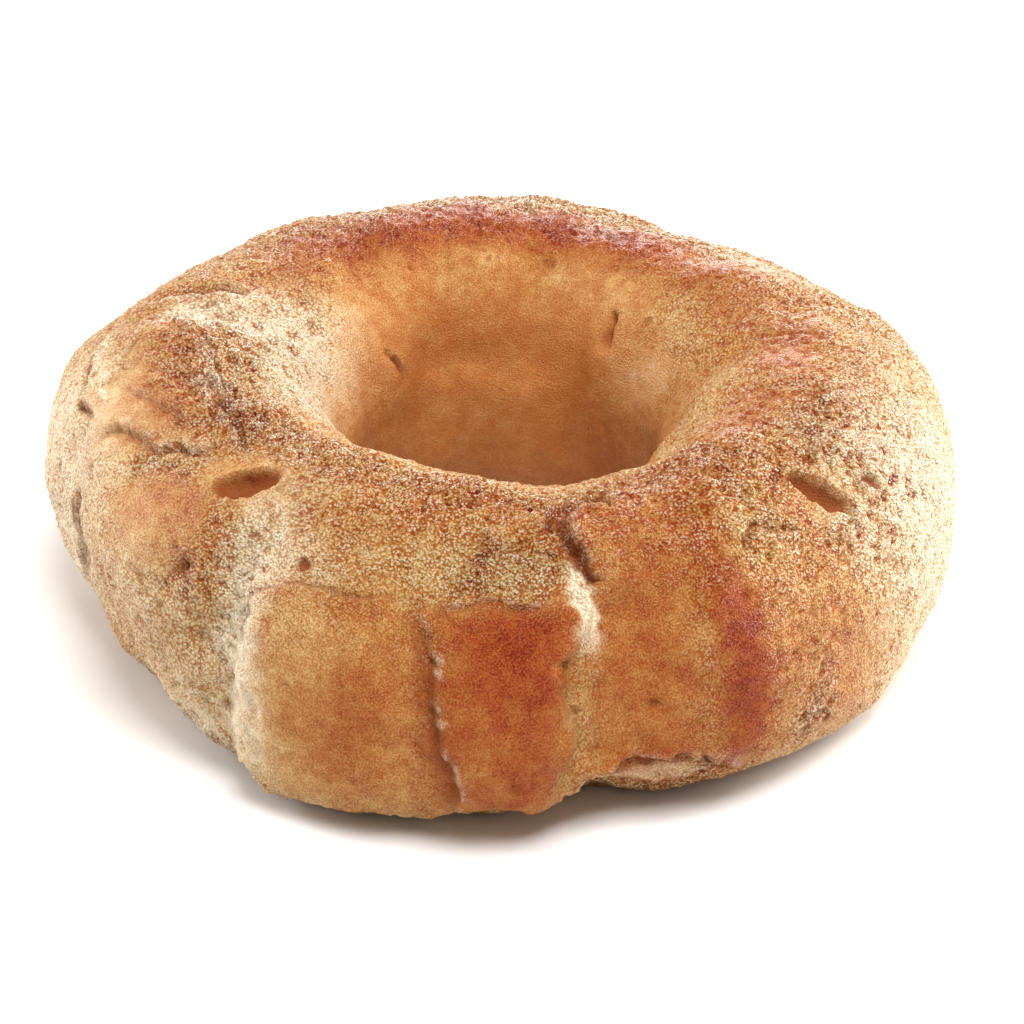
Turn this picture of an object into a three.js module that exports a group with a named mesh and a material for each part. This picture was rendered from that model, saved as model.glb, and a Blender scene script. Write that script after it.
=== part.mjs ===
// The empty, uncut choux ring of a paris brest, puffed and split by the oven: one solid of crust.
// Millimetres, +Z up. The origin is on the resting plane, under the middle of the ring's box.
//
// A place on the crust is [round, over], in degrees: round the ring from +X as seen from above, and
// over the section from 0 at the outside, by 90 at the crest, to 180 in the hole and 270 underneath.
import * as THREE from "three";

// Driving dimensions of the piped ring, before it swells.
const ringRadius = 33;
const outerHalfWidth = 16.2;
const innerHalfWidth = 15.6;
const waistHeight = 14.6;
const crestRise = 17.6;
const baseDrop = 16.4; // more than waistHeight, so that the underside bakes flat on the tray
const crestFullness = 2.15; // 2 is an ellipse, more is squarer
const baseFullness = 2.8;

const stepsRound = 148;
const stepsOver = 40;
const crowdedAt = 45;
const stepCrowding = 18;
const sectionRadius = 16.5; // turns degrees over the section into millimetres of crust

// Lobes that swelled out. reach is half the length round the ring and half the length over the section.
const lobes = {
  frontLeft: { at: [249.5, -3], reach: [9.4, 11.5], swell: 2.5, edge: 4 },
  frontMiddle: { at: [270, 0], reach: [7.2, 10.5], swell: 2.8, edge: 4 },
  frontCrest: { at: [277, 108], reach: [13, 9], swell: -2.4, edge: 3 },
  rightCheek: { at: [312, 0], reach: [17, 14], swell: 2.1, edge: 3 },
  rightCheekEdge: { at: [299, 8], reach: [4, 9], swell: 0.7, edge: 2 },
  rightPlate: { at: [297, 66], reach: [12, 6.5], swell: 1.1, edge: 3 },
  rightCrest: { at: [341, 82], reach: [12, 8], swell: 0.6, edge: 3 },
  rightSide: { at: [352, 10], reach: [10, 10], swell: 0.5, edge: 2 },
  leftCheek: { at: [217, 22], reach: [11, 9], swell: 1.5, edge: 3 },
  leftPlate: { at: [192, 70], reach: [11, 8], swell: 1.8, edge: 3 },
  leftSide: { at: [177, 22], reach: [12, 9], swell: 1.3, edge: 3 },
  leftTuck: { at: [205, -24], reach: [18, 11], swell: -3, edge: 2 },
  frontLeftFoot: { at: [240, -42], reach: [10, 6], swell: 1.1, edge: 2 },
  footTuck: { at: [278, -52], reach: [8, 6], swell: -2, edge: 2 },
  backLeft: { at: [113, 3], reach: [11, 12], swell: 1.5, edge: 4 },
  backMiddle: { at: [79, 0], reach: [11, 12], swell: 1.6, edge: 4 },
  backRight: { at: [40, -2], reach: [12, 12], swell: 1.4, edge: 4 },
  backRightSlump: { at: [34, 58], reach: [20, 12], swell: -1.9, edge: 2 },
  backLeftSlump: { at: [108, 62], reach: [13, 10], swell: -1.3, edge: 2 },
  leftShoulder: { at: [152, 48], reach: [11, 10], swell: -0.8, edge: 2 },
  holeBulgeLeft: { at: [150, 150], reach: [6, 9], swell: 0.9, edge: 3 },
  holeBulgeBack: { at: [93, 186], reach: [8, 6], swell: 0.8, edge: 3 },
  holeBulgeRight: { at: [40, 150], reach: [6, 9], swell: 0.7, edge: 3 },
};

// Valleys and splits between the lobes.
const splits = {
  frontSeam: { path: [[260, 40], [261, 24], [262, 0], [264, -12], [263.5, -30]], width: 1.7, depth: 1.7 },
  paleBand: { path: [[239, 62], [237, 35], [235, 5], [237, -30]], width: 3, depth: 1.2 },
  crestSplit: { path: [[284, 92], [281, 76], [279.5, 66], [281, 52], [281.5, 42]], width: 1.8, depth: 1.9 },
  recess: { path: [[285, 40], [285, 10], [284, -18]], width: 3.6, depth: 1.2 },
  footFold: { path: [[278, -38], [283, -27], [290, -19], [298, -25]], width: 1.8, depth: 1.5 },
  leftSplit: { path: [[172, 56], [183, 47], [190, 43], [198, 41]], width: 1.9, depth: 1.6 },
  leftStep: { path: [[198, 24], [198, 4], [196, -14]], width: 2, depth: 1.2 },
  leftRidgeEdge: { path: [[202, 104], [214, 90], [223, 80]], width: 1.8, depth: 0.9 },
  backLeftNotch: { path: [[163, 50], [161, 80], [159, 104]], width: 2.1, depth: 2 },
  rightNotch: { path: [[3, 112], [1, 96], [357, 80]], width: 1.9, depth: 1.1 },
  holeFold: { path: [[66, 156], [85, 164], [104, 163], [124, 158]], width: 2, depth: 1 },
  backSeam: { path: [[98, 46], [95, 24], [97, 0], [96, -30]], width: 1.8, depth: 1.5 },
  backRecess: { path: [[60, 58], [59, 20], [60, -25]], width: 3.2, depth: 1 },
  backBand: { path: [[132, 58], [134, 20], [132, -25]], width: 3, depth: 1.2 },
  backRightSeam: { path: [[18, 50], [21, 14], [19, -28]], width: 1.8, depth: 1.4 },
};

// Burst bubbles, each an oval hollow. turn is from the way round the ring, in degrees.
const bubbles = {
  leftBubble: { at: [231, 66], length: 7.5, width: 4, turn: 35, depth: 1.8 },
  rightBubble: { at: [316, 53], length: 7.5, width: 3.8, turn: -38, depth: 1.8 },
};

// Slow unevenness: [waves round the ring, waves over the section, phase in degrees, millimetres].
const waves = [
  [3, 1, 40, 0.3],
  [5, -2, 110, 0.25],
  [9, 3, 260, 0.2],
  [14, -4, 15, 0.15],
];

const radians = THREE.MathUtils.degToRad;

// The shorter way from one angle to another, in degrees.
function turnBetween(from, to) {
  return THREE.MathUtils.euclideanModulo(to - from + 180, 360) - 180;
}

// The way from one place to another, in millimetres of crust along the ring and over the section.
function crustStep(from, to, radiusHere) {
  return new THREE.Vector2(
    radians(turnBetween(from[0], to[0])) * radiusHere,
    radians(turnBetween(from[1], to[1])) * sectionRadius,
  );
}

function lobeSwell(place, radiusHere, lobe) {
  const step = crustStep(lobe.at, place, radiusHere);
  const along = Math.abs(step.x / lobe.reach[0]) ** lobe.edge;
  const across = Math.abs(step.y / lobe.reach[1]) ** lobe.edge;
  return lobe.swell * Math.exp(-along - across);
}

function splitDepth(place, radiusHere, split) {
  let nearest = Infinity;
  for (let i = 1; i < split.path.length; i++) {
    const run = crustStep(split.path[i - 1], split.path[i], radiusHere);
    const step = crustStep(split.path[i - 1], place, radiusHere);
    const share = THREE.MathUtils.clamp(step.dot(run) / run.lengthSq(), 0, 1);
    nearest = Math.min(nearest, step.addScaledVector(run, -share).length());
  }
  return split.depth * Math.exp(-((nearest / split.width) ** 2));
}

function bubbleDepth(place, radiusHere, bubble) {
  const step = crustStep(bubble.at, place, radiusHere);
  step.rotateAround(new THREE.Vector2(), -radians(bubble.turn));
  const spread = Math.hypot((2 * step.x) / bubble.length, (2 * step.y) / bubble.width);
  return bubble.depth * Math.exp(-(spread ** 3));
}

// A point of the smooth piped ring: a superellipse section, turned about Z.
function doughPoint(round, over) {
  const cos = Math.cos(radians(over));
  const sin = Math.sin(radians(over));
  const fullness = sin >= 0 ? crestFullness : baseFullness;
  const out = Math.sign(cos) * Math.abs(cos) ** (2 / fullness);
  const up = Math.sign(sin) * Math.abs(sin) ** (2 / fullness);
  const radius = ringRadius + out * (cos >= 0 ? outerHalfWidth : innerHalfWidth);
  const height = waistHeight + up * (sin >= 0 ? crestRise : baseDrop);
  return new THREE.Vector3(radius * Math.cos(radians(round)), radius * Math.sin(radians(round)), height);
}

function crustPoint(round, over) {
  const place = [round, over];
  const radiusHere = ringRadius + outerHalfWidth * Math.cos(radians(over));
  let rise = 0;
  for (const lobe of Object.values(lobes)) rise += lobeSwell(place, radiusHere, lobe);
  for (const split of Object.values(splits)) rise -= splitDepth(place, radiusHere, split);
  for (const bubble of Object.values(bubbles)) rise -= bubbleDepth(place, radiusHere, bubble);
  for (const [timesRound, timesOver, phase, size] of waves) {
    rise += size * Math.sin(radians(timesRound * round + timesOver * over + phase));
  }
  const outward = new THREE.Vector3(
    Math.cos(radians(over)) * Math.cos(radians(round)),
    Math.cos(radians(over)) * Math.sin(radians(round)),
    Math.sin(radians(over)),
  );
  const point = doughPoint(round, over).addScaledVector(outward, rise);
  point.z = Math.max(point.z, 0);
  return point;
}

// Degrees over the section for a share of its steps, which stand closer on the outside and the crest.
function crowdedOver(share) {
  return 360 * share - stepCrowding * Math.sin(radians(360 * share - crowdedAt));
}

function chouxRing() {
  const geometry = new THREE.TorusGeometry(ringRadius, sectionRadius, stepsOver, stepsRound);
  const places = geometry.getAttribute("uv");
  const points = geometry.getAttribute("position");
  for (let i = 0; i < points.count; i++) {
    const point = crustPoint((360 * places.getX(i)) % 360, crowdedOver(places.getY(i) % 1));
    points.setXYZ(i, point.x, point.y, point.z);
  }
  geometry.computeBoundingBox();
  const middle = geometry.boundingBox.getCenter(new THREE.Vector3());
  geometry.translate(-middle.x, -middle.y, 0);
  geometry.computeVertexNormals();
  const crust = new THREE.MeshStandardMaterial({ color: 0xbd8250, roughness: 0.55, metalness: 0 });
  const ring = new THREE.Mesh(geometry, crust);
  ring.name = "choux_ring";
  return ring;
}

const part = new THREE.Group();
part.add(chouxRing());

export default part;
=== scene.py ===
# The empty, uncut choux ring of a paris brest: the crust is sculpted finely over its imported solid.
# Its form is worked out in millimetres and written to the mesh in metres.
#
# A place on the crust is [round, over], in degrees: round the ring from +X as seen from above, and
# over the section from 0 at the outside, by 90 at the crest, to 180 in the hole and 270 underneath.
import math
import random

import bmesh
import bpy
import numpy as np
from mathutils import Matrix, Vector, noise


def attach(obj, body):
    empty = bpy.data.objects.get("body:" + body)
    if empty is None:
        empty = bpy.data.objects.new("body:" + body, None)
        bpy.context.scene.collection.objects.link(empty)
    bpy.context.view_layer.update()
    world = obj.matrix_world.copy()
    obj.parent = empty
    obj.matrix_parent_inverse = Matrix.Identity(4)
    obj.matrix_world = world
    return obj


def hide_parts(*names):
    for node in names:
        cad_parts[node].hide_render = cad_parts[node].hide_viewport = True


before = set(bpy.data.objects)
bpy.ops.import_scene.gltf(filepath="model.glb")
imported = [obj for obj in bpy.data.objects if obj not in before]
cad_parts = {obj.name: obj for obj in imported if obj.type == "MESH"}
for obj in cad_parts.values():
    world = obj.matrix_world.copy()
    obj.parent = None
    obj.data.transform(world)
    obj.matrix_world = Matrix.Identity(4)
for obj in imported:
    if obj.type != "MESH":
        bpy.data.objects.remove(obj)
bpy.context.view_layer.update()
millimetre = 0.001  # in metres

ring = {
    "ringRadius": 33,
    "outerHalfWidth": 16.2,
    "innerHalfWidth": 15.6,
    "waistHeight": 14.6,
    "crestRise": 17.6,
    "baseDrop": 16.4,  # more than waistHeight, so that the underside bakes flat
    "crestFullness": 2.15,  # 2 is an ellipse, more is squarer
    "baseFullness": 2.8,
    "sectionRadius": 16.5,  # turns degrees over the section into millimetres of crust
    "stepsRound": 264,
    "stepsOver": 96,
    "halvings": 2,
    "triangles": 197000,
}

# Lobes that swelled out. reach is half the length round the ring and half the length over the section,
# edge how steep the side is, and lean how far the lobe hangs over its side, both ways, in millimetres.
lobes = {
    "frontLeft": {"at": [249.5, -4], "reach": [9.4, 11.5], "swell": 2.6, "edge": 6, "lean": [-0.5, 0.4]},
    "frontMiddle": {"at": [269.5, 1.5], "reach": [7, 10.2], "swell": 2.7, "edge": 5, "lean": [0.7, 0.4]},
    "frontMiddleLip": {"at": [277.5, 36], "reach": [2.6, 4], "swell": 1.2, "edge": 3, "lean": [0.7, 0]},
    "frontCrest": {"at": [283, 106], "reach": [15, 9], "swell": -2.3, "edge": 2},
    "rightCheek": {"at": [312, 0], "reach": [17, 14], "swell": 2.1, "edge": 3},
    "rightCheekEdge": {"at": [299, 8], "reach": [4, 9], "swell": 0.7, "edge": 2},
    "rightPlate": {"at": [297, 66], "reach": [12, 6.5], "swell": 1.1, "edge": 4, "lean": [-0.6, 0]},
    "holeRight": {"at": [319, 128], "reach": [12, 9], "swell": -1.5, "edge": 2},
    "rightCrest": {"at": [341, 82], "reach": [12, 8], "swell": 0.6, "edge": 3},
    "rightSide": {"at": [352, 10], "reach": [10, 10], "swell": 0.5, "edge": 2},
    "leftCheek": {"at": [217, 22], "reach": [11, 9], "swell": 1.5, "edge": 3},
    "leftPlate": {"at": [192, 70], "reach": [11, 8], "swell": 1.8, "edge": 4},
    "leftSide": {"at": [177, 22], "reach": [12, 9], "swell": 1.3, "edge": 3},
    "leftTuck": {"at": [207, -21], "reach": [17, 12], "swell": -3.8, "edge": 2},
    "leftFarTuck": {"at": [190, -38], "reach": [12, 8], "swell": -1, "edge": 2},
    "rightFarTuck": {"at": [350, -36], "reach": [13, 8], "swell": -0.5, "edge": 2},
    "frontLeftFoot": {"at": [240, -42], "reach": [7, 6], "swell": 0.2, "edge": 2},
    "footTuck": {"at": [280, -46], "reach": [6.5, 8], "swell": -3.4, "edge": 2},
    "rightFootTuck": {"at": [303, -44], "reach": [8, 7], "swell": -0.9, "edge": 2},
    "backLeft": {"at": [113, 3], "reach": [11, 12], "swell": 1.5, "edge": 4},
    "backMiddle": {"at": [79, 0], "reach": [11, 12], "swell": 1.6, "edge": 4},
    "backRight": {"at": [40, -2], "reach": [12, 12], "swell": 1.4, "edge": 4},
    "backRightSlump": {"at": [40, 62], "reach": [20, 12], "swell": -2.2, "edge": 2},
    "backMiddleSlump": {"at": [71, 74], "reach": [8, 7], "swell": -1, "edge": 2},
    "backLeftSlump": {"at": [108, 62], "reach": [13, 10], "swell": -1.3, "edge": 2},
    "leftShoulder": {"at": [152, 48], "reach": [11, 10], "swell": -0.8, "edge": 2},
    "holeBulgeLeft": {"at": [150, 150], "reach": [6, 9], "swell": 0.9, "edge": 3},
    "holeBulgeBack": {"at": [93, 186], "reach": [8, 6], "swell": 0.8, "edge": 3},
    "holeBulgeRight": {"at": [40, 150], "reach": [6, 9], "swell": 0.7, "edge": 3},
}

# Valleys and splits between the lobes. step lifts the crust on the left of the path, seen along it from
# its start, and lip the torn edge there, which is pale. raw is how much of the inside shows and rawWidth
# how far, fade the share of each end that tapers off, and ragged how far the path strays.
splits = {
    "frontSeam": {
        "path": [[264, -37], [264.3, -28], [264, -8], [262.3, 4], [262, 18], [260.3, 32], [259.3, 38]],
        "width": 0.4, "depth": 0.6, "step": -0.15, "lip": 0.3, "raw": 0.6, "rawWidth": 1.2, "fade": 0.3,
        "pale": 0.5, "ragged": 0.35,
    },
    "frontLeftTop": {
        "path": [
            [237.5, 8], [238.5, 20], [239.5, 29], [243, 34.5],
            [246, 37], [250, 37.5], [255, 37.5], [259, 39],
        ],
        "width": 0.35, "depth": 0.4, "step": -0.55, "lip": 0.1, "raw": 0.6, "rawWidth": 0.4,
        "fade": 0.15, "pale": 0, "ragged": 0.35,
    },
    "frontMiddleTop": {
        "path": [[261, 38], [265, 37.5], [269, 38.5], [273, 37], [276, 36]],
        "width": 0.4, "depth": 0.2, "step": 0.3, "lip": 0.15, "raw": 0.2, "rawWidth": 0.6, "fade": 0.2,
    },
    "frontMiddleSide": {
        "path": [
            [279, 46], [281, 40], [280.5, 32], [278.5, 24], [276.7, 16], [277, 8], [278.5, 0], [280, -14],
        ],
        "width": 0.5, "depth": 0.5, "step": -0.7, "lip": 0.3, "fade": 0.2, "pale": 0.05, "ragged": 0.35,
    },
    "paleBand": {
        "path": [[239, 62], [237, 35], [235, 5], [237, -30]],
        "width": 3, "depth": 1.2, "fade": 0.2,
    },
    "crestSplit": {
        "path": [[291, 89], [287, 83], [282.5, 76.5], [280.5, 68], [280.7, 60], [281.5, 50], [282.5, 44]],
        "width": 0.75, "depth": 1.3, "step": 0.7, "lip": 0.35, "raw": 0.9, "rawWidth": 1, "fade": 0.12,
    },
    "crestSplitArm": {
        "path": [[276.5, 63], [277.5, 69], [280, 76], [282.5, 82], [286, 90]],
        "width": 0.5, "depth": 0.7, "step": 0.6, "lip": 0.35, "raw": 0.8, "rawWidth": 1.2, "fade": 0.25,
    },
    "recess": {
        "path": [[285, 44], [285, 10], [284, -18]],
        "width": 3.6, "depth": 1.2, "fade": 0.15, "pale": 0,
    },
    "footFold": {
        "path": [[276, -43], [279, -33], [281.5, -20], [286, -15], [292, -14.5], [297, -21], [300, -34]],
        "width": 0.6, "depth": 1, "step": 0.9, "lip": 0.3, "raw": 0.3, "rawWidth": 0.8, "fade": 0.15,
    },
    "leftSplit": {
        "path": [
            [171, 88], [173, 80], [176, 74], [177, 66], [178.5, 58], [182, 52], [190, 50], [199, 47],
        ],
        "width": 0.6, "depth": 1.1, "step": 0.6, "lip": 0.3, "raw": 0.8, "rawWidth": 0.9, "fade": 0.12,
    },
    "leftPlateRim": {
        "path": [[177, 90], [180, 82], [182, 75], [185, 68], [191, 60], [195, 54.5], [199, 52]],
        "width": 0.5, "depth": 0.3, "step": 0.5, "lip": 0.5, "fade": 0.12, "pale": 0.7,
    },
    "leftPlateFoot": {
        "path": [[200, 46], [205, 55], [210, 61], [215, 67], [222, 70]],
        "width": 0.45, "depth": 0.6, "step": 0.5, "lip": 0.3, "raw": 0.5, "rawWidth": 0.7, "fade": 0.15,
        "pale": 0.4,
    },
    "leftPlateMiddle": {
        "path": [[194, 60], [201, 68], [208, 74], [215, 77]],
        "width": 0.4, "depth": 0.25, "step": 0.35, "lip": 0.15, "raw": 0.3, "rawWidth": 0.5,
        "fade": 0.2, "pale": 0.1,
    },
    "leftStep": {
        "path": [[199, 30], [198, 16], [198, 2], [195, -16]],
        "width": 0.8, "depth": 0.5, "step": -0.8, "lip": 0.1, "raw": 0.5, "rawWidth": 0.9, "fade": 0.3,
    },
    "leftRidgeEdge": {
        "path": [
            [180, 90], [188, 93], [195, 94.5], [201, 95.5], [207, 94], [213, 91], [219, 87], [227, 79],
        ],
        "width": 0.6, "depth": 0.6, "step": -0.5, "lip": 0.5, "raw": 0.5, "rawWidth": 0.7, "fade": 0.1,
        "pale": 0.5, "ragged": 0.8,
    },
    "backLeftNotch": {
        "path": [[163, 50], [162, 66], [160, 84], [158, 104]],
        "width": 1.3, "depth": 1.4, "step": -1.2, "raw": 0.5, "rawWidth": 1.4, "fade": 0.15,
    },
    "rightNotch": {
        "path": [[4, 112], [2, 102], [1, 94], [357, 82]],
        "width": 0.6, "depth": 0.9, "step": -0.4, "lip": 0.15, "raw": 0.4, "rawWidth": 0.6, "fade": 0.3,
    },
    "holeFold": {
        "path": [[66, 156], [85, 164], [104, 163], [124, 158]],
        "width": 2.4, "depth": 0.6, "fade": 0.2, "pale": 0,
    },
    "backSeam": {
        "path": [[96, -32], [96.5, -14], [97.5, 2], [95, 20], [97, 34], [98, 46]],
        "width": 0.75, "depth": 1, "step": -0.7, "lip": 0.35, "raw": 0.9, "rawWidth": 1.4, "fade": 0.15,
    },
    "backRecess": {
        "path": [[60, 58], [59, 20], [60, -25]],
        "width": 3.2, "depth": 1, "fade": 0.2, "pale": 0,
    },
    "backBand": {
        "path": [[132, 58], [134, 20], [132, -25]],
        "width": 3, "depth": 1.2, "fade": 0.2,
    },
    "backRightSeam": {
        "path": [[18, 52], [20, 34], [21.5, 16], [20, 0], [19, -28]],
        "width": 0.8, "depth": 1, "step": 0.8, "lip": 0.3, "raw": 0.7, "rawWidth": 1.2, "fade": 0.15,
    },
    # finer cracks, which only show up close
    "crestCrack": {
        "path": [[268, 70], [268.3, 63], [269, 59.5], [267, 58], [265, 54]],
        "width": 0.45, "depth": 0.5, "step": 0.4, "lip": 0.25, "raw": 0.5, "rawWidth": 0.6, "fade": 0.3,
    },
    "plateauArc": {
        "path": [[266, 52], [268, 57], [271, 59], [275, 58.5], [278, 53.5], [280, 47]],
        "width": 0.4, "depth": 0.35, "step": -0.6, "lip": 0.25, "raw": 0.2, "rawWidth": 0.5,
        "fade": 0.2, "pale": 0.1,
    },
    "flakeArm": {
        "path": [[302.5, 43], [304, 49], [306, 51.5], [309, 47], [314, 40]],
        "width": 0.4, "depth": 0.5, "step": -0.4, "lip": 0.15, "raw": 0.5, "rawWidth": 0.5, "fade": 0.3,
    },
    "cheekNotch": {
        "path": [[229.5, 35], [228.5, 30], [228, 24]],
        "width": 0.7, "depth": 0.8, "step": 0.4, "raw": 0.7, "rawWidth": 0.9, "fade": 0.4,
    },
    "holeCrackRight": {
        "path": [[53, 138], [52, 141], [51, 150], [50, 158]],
        "width": 0.5, "depth": 1, "raw": 0.9, "rawWidth": 0.5, "fade": 0.4,
    },
    "holeCrackLeft": {
        "path": [[133, 152], [131, 156], [129, 162], [127, 168]],
        "width": 0.45, "depth": 0.8, "raw": 0.8, "rawWidth": 0.5, "fade": 0.4,
    },
    "footCrack": {
        "path": [[242, -44], [248, -50], [256, -50], [264, -47]],
        "width": 0.5, "depth": 0.7, "step": 0.5, "lip": 0.2, "raw": 0.5, "rawWidth": 0.6, "fade": 0.3,
    },
    "footCrackLeft": {
        "path": [[237.5, -18], [238.5, -28], [240, -38], [242, -48]],
        "width": 0.6, "depth": 0.9, "step": 0.7, "lip": 0.3, "raw": 0.8, "rawWidth": 1.1, "fade": 0.3,
    },
}

# Burst bubbles, each an oval hollow. turn is from the way round the ring, in degrees.
bubbles = {
    "leftBubble": {"at": [231, 66], "length": 7.2, "width": 3.4, "turn": 35, "depth": 1.7, "rim": 0.15},
    "rightBubble": {"at": [318, 52], "length": 7.8, "width": 3, "turn": -60, "depth": 2, "rim": 0.2},
    "rightPit": {"at": [327, 45], "length": 2.8, "width": 1.5, "turn": -45, "depth": 0.7, "rim": 0.2},
    "craterLeft": {"at": [245, 44], "length": 1.5, "width": 1.3, "turn": 0, "depth": 0.4, "rim": 0.3},
    "cheekPit": {"at": [311, -15], "length": 1.3, "width": 1.1, "turn": 0, "depth": 0.5, "rim": 0.15},
    "recessPit": {"at": [288, 2], "length": 1, "width": 0.9, "turn": 0, "depth": 0.4, "rim": 0.05},
}

# Slow unevenness: [waves round the ring, waves over the section, phase in degrees, millimetres].
waves = [
    [3, 1, 40, 0.3],
    [5, -2, 110, 0.25],
    [9, 3, 260, 0.2],
    [14, -4, 15, 0.15],
]

# Where the oven browned the crust more (above 0) or less, in steps of the browning scale from 0 to 1; some
# patches stand for painted shade or glow, as marked.
toasting = {
    "crest": {"over": 90, "spread": 22, "brown": 0.1},
    "lowerSide": {"over": -40, "spread": 30, "brown": -0.06},
    "hole": {"over": 172, "spread": 50, "brown": -0.03},
}
patches = {
    "frontLeftFace": {"at": [249, -8], "reach": [9, 10], "brown": 0.07, "smooth": 0.8},
    "frontLeftRight": {"at": [256.5, 0], "reach": [5, 11], "brown": 0.19, "smooth": 0.7},
    # partly browning, partly painted shade in the crease under the lobe's top edge
    "frontLeftEdge": {"at": [251, 33], "reach": [9, 1.3], "brown": 0.12, "smooth": 0},
    "frontMiddleFace": {"at": [269.5, 2], "reach": [7.1, 10.5], "edge": 6, "brown": 0.34, "smooth": 0.8},
    # partly browning, partly painted shade under the plateau's edge
    "frontMiddleDark": {"at": [271.5, 20], "reach": [6, 5], "edge": 4, "brown": 0.12, "smooth": 0.6},
    "recess": {"at": [287, 8], "reach": [5.5, 13], "edge": 4, "brown": 0.31, "smooth": 0.7},
    # painted shade on the side of the cheek's bulge that faces away from the right
    "rightRidgeShade": {"at": [298.5, 8], "reach": [3, 11], "edge": 2, "brown": 0.5, "smooth": 0.7},
    "rightRidgeTop": {"at": [297, 32], "reach": [3, 4], "brown": 0.14, "smooth": 0.2},
    "rightCheekFace": {"at": [310, 4], "reach": [9, 11], "brown": 0.12, "smooth": 0.3},
    "rightPlateTop": {"at": [292, 60], "reach": [7, 5.5], "brown": 0.16, "smooth": 0.2},
    "rightCrestTop": {"at": [310, 84], "reach": [12, 5], "brown": 0.06, "smooth": 0},
    "rightCrestDark": {"at": [327, 98], "reach": [6, 3.5], "brown": 0.2, "smooth": 0.3},
    "rightFarDark": {"at": [353, 97], "reach": [7, 3.5], "brown": 0.2, "smooth": 0.3},
    "rightFarTop": {"at": [335, 62], "reach": [8, 6], "brown": 0.08, "smooth": 0},
    "leftPlateTop": {"at": [195, 78], "reach": [9, 4.4], "edge": 4, "brown": 0.05, "smooth": 0.2},
    "leftCrest": {"at": [206, 76], "reach": [7, 7], "brown": 0.08, "smooth": 0},
    "leftPinkPlate": {"at": [202, 60], "reach": [6.5, 3.6], "edge": 5, "brown": 0.02, "smooth": 0.9},
    "leftCheekPink": {"at": [221, 41], "reach": [5.5, 5], "edge": 5, "brown": 0.17, "smooth": 0.5},
    "leftCheekBrown": {"at": [230, 38], "reach": [3, 4.5], "brown": 0.14, "smooth": 0},
    "crestFront": {"at": [266, 76], "reach": [15, 5], "brown": 0.1, "smooth": 0},
    "plateau": {"at": [270, 50], "reach": [9, 3.4], "brown": -0.04, "smooth": 0},
    "leftBubbleRim": {"at": [231, 66], "reach": [4.8, 2.6], "brown": 0, "smooth": 0.5},
    "rightBubbleRim": {"at": [318, 52], "reach": [4.4, 3], "brown": 0, "smooth": 0.5},
    "holeBackWall": {"at": [92, 160], "reach": [20, 14], "edge": 5, "brown": 0.12, "smooth": 1},
    "holeFloor": {"at": [270, 205], "reach": [60, 15], "edge": 6, "brown": 0.04, "smooth": 0.9},
    # partly browning, partly painted shade where the back light doesn't reach
    "backRim": {"at": [85, 100], "reach": [30, 5], "brown": 0.46, "smooth": 0.3},
    # painted glow, as of light through the crust
    "holeGlow": {"at": [32, 158], "reach": [5, 4], "brown": -0.16, "smooth": 1},
    "backCrest": {"at": [90, 66], "reach": [34, 6], "brown": 0.12, "smooth": 0},
    "footRight": {"at": [290, -30], "reach": [10, 6], "brown": 0.1, "smooth": 0},
    "backLeftFace": {"at": [113, -4], "reach": [10, 10], "brown": 0.24, "smooth": 0.8},
    "backMiddleFace": {"at": [79, -4], "reach": [10, 10], "brown": 0.34, "smooth": 0.8},
    "backRightFace": {"at": [40, -4], "reach": [11, 10], "brown": 0.26, "smooth": 0.7},
}
# Where the skin tore and stretched pale, and painted highlights where light catches the crust, as marked.
tearsAndHighlights = {
    "paleBand": {"at": [237.3, 14], "reach": [3.4, 14], "pale": 0.9},
    "paleShoulder": {"at": [242, 46], "reach": [6, 3.5], "pale": 0.25},
    "plateau": {"at": [271, 50], "reach": [8, 3.2], "pale": 0.08},
    # partly the lip's pale torn edge, partly a painted highlight where it catches the light
    "lip": {"at": [279.7, 37], "reach": [1.4, 4.2], "edge": 4, "pale": 1},
    "footFold": {"at": [288, -24], "reach": [8, 1.8], "pale": 0.4},
    "footLeft": {"at": [226, -32], "reach": [12, 8], "pale": 0.5},
    "leftSide": {"at": [190, 14], "reach": [15, 13], "pale": 0.6},
    "leftCheek": {"at": [221, 8], "reach": [9, 9], "pale": 0.25},
    "leftRim": {"at": [184, 57], "reach": [7, 2.2], "pale": 0.6},
    # painted highlight on the raised side of the notch
    "leftTopHighlight": {"at": [171, 90], "reach": [4, 4], "pale": 0.9},
    "leftShoulder": {"at": [214, 62], "reach": [6, 4], "pale": 0.12},
    # partly pale crumbly skin, partly a painted highlight on the lit inner wall
    "leftInner": {"at": [166, 126], "reach": [7, 9], "pale": 0.9},
    "leftInnerFace": {"at": [190, 138], "reach": [9, 8], "pale": 0.9},
    "ridge": {"at": [205, 94], "reach": [9, 2.2], "pale": 0.35},
    "rightSide": {"at": [339, 24], "reach": [13, 13], "pale": 0.75},
    "rightGlint": {"at": [321, 32], "reach": [4, 4], "pale": 0.4},
    # painted highlight where the back light catches the far crest
    "backTopHighlight": {"at": [85, 77], "reach": [30, 4.5], "pale": 0.3},
    "backRightTopHighlight": {"at": [38, 78], "reach": [9, 5], "pale": 0.3},
    "rightCheekScab": {"at": [309, -10], "reach": [3, 3.5], "pale": 0.15},
    "lowLeft": {"at": [228, -18], "reach": [7, 9], "pale": 0.3},
    "backSide": {"at": [59, 10], "reach": [4.5, 13], "pale": 0.5},
    "backBand": {"at": [133, 16], "reach": [4, 14], "pale": 0.6},
    "backRightSide": {"at": [8, 8], "reach": [9, 10], "pale": 0.5},
}

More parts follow.
